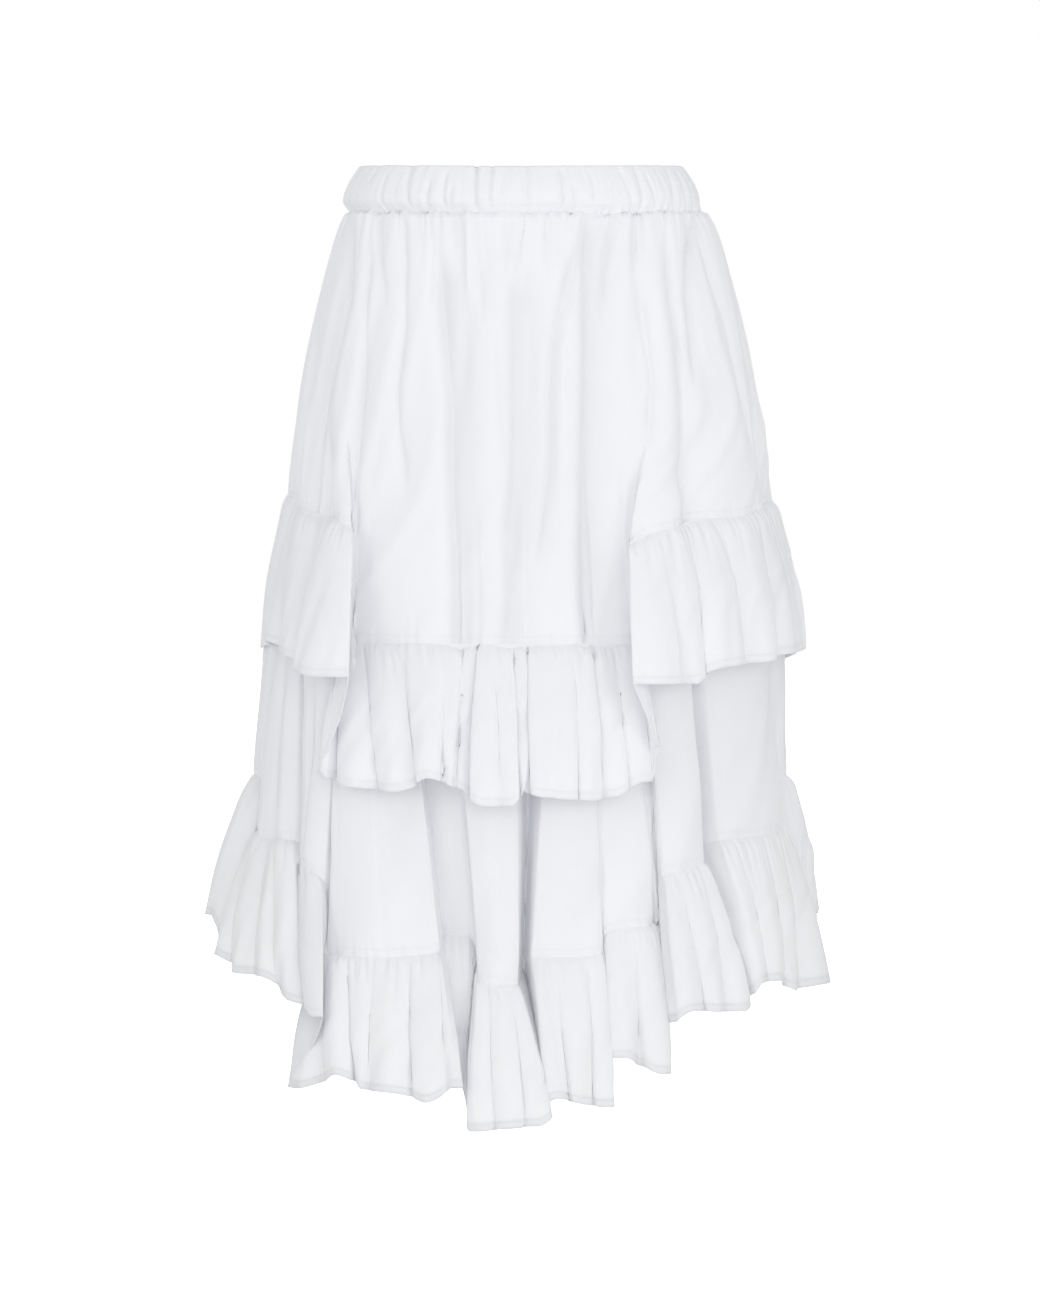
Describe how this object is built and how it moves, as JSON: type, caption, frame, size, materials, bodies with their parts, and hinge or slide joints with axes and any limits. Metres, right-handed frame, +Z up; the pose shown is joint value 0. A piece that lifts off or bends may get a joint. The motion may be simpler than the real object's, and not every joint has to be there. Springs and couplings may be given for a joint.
{
  "type": "tiered ruffle skirt",
  "caption": "Gathered midi skirt with an elasticated waist and ruffled tiers whose seams dip towards the centre front, filled out as if worn and hollow inside.",
  "frame": {"origin": "centre of the waist opening at the top edge of the waistband", "axes": "+Z up along the wearer's body, the front of the skirt faces -Y, +X is the wearer's left"},
  "size_m": [0.4939, 0.4326, 0.744],
  "materials": {
    "skirt_cotton": "matt plain-woven cotton",
    "waistband_cotton": "matt plain-woven cotton, gathered over elastic"
  },
  "bodies": {
    "root": {"waistband": "waistband_cotton", "upper_front": "skirt_cotton", "upper_back": "skirt_cotton", "ruffle_1_front": "skirt_cotton", "ruffle_1_back": "skirt_cotton", "lower_front": "skirt_cotton", "lower_back": "skirt_cotton", "ruffle_2_front": "skirt_cotton", "ruffle_2_back": "skirt_cotton"}
  },
  "joints": []
}
